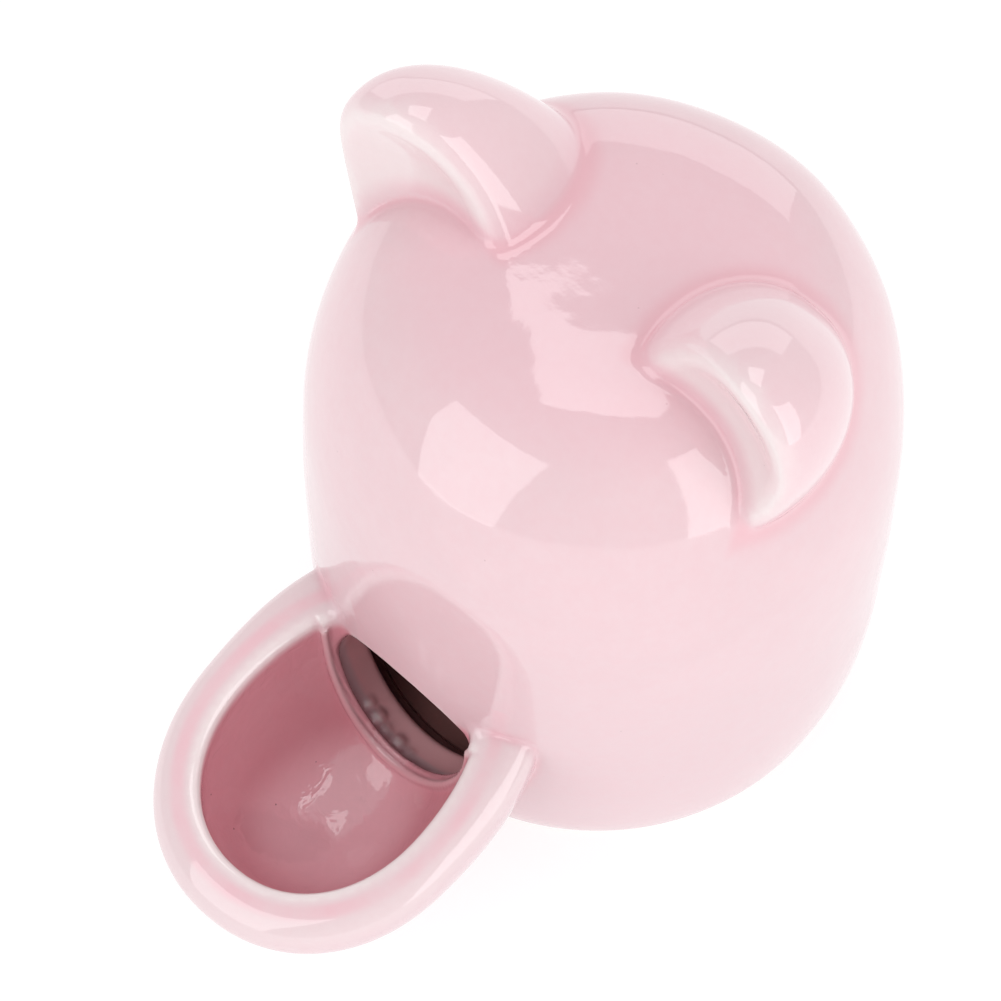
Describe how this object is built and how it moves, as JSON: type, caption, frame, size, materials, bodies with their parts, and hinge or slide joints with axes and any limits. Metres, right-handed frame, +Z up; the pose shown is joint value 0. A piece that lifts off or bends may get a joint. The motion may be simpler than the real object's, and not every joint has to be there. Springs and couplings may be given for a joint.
{
  "type": "figural animal coin bank",
  "caption": "Hollow glazed ceramic animal with two ears and a front dish opening from its mouth; a soft stopper closes the base for emptying.",
  "frame": {"origin": "middle of the whole part's footprint, on the table", "axes": "+Z up, -Y the way the dish and the face point, +X to the right of someone looking at the face; ear_left and ear_right are named as that person sees them"},
  "size_m": [0.084, 0.1234, 0.1073],
  "materials": {
    "pink_glaze": "high gloss pale pink glaze, deeper pink where it pools",
    "base_bisque": "dry unglazed base",
    "stopper_rubber": "soft satin, translucent grey white"
  },
  "bodies": {
    "animal": {"body_shell": "pink_glaze", "dish": "pink_glaze", "ear_left": "pink_glaze", "ear_right": "pink_glaze", "base_plate": "base_bisque"},
    "stopper": {"stopper": "stopper_rubber"}
  },
  "joints": [
    {"name": "stopper_pull", "type": "slide", "parent": "animal", "child": "stopper", "axis": [0, 0, -1], "range_m": [0, 0.014]}
  ]
}
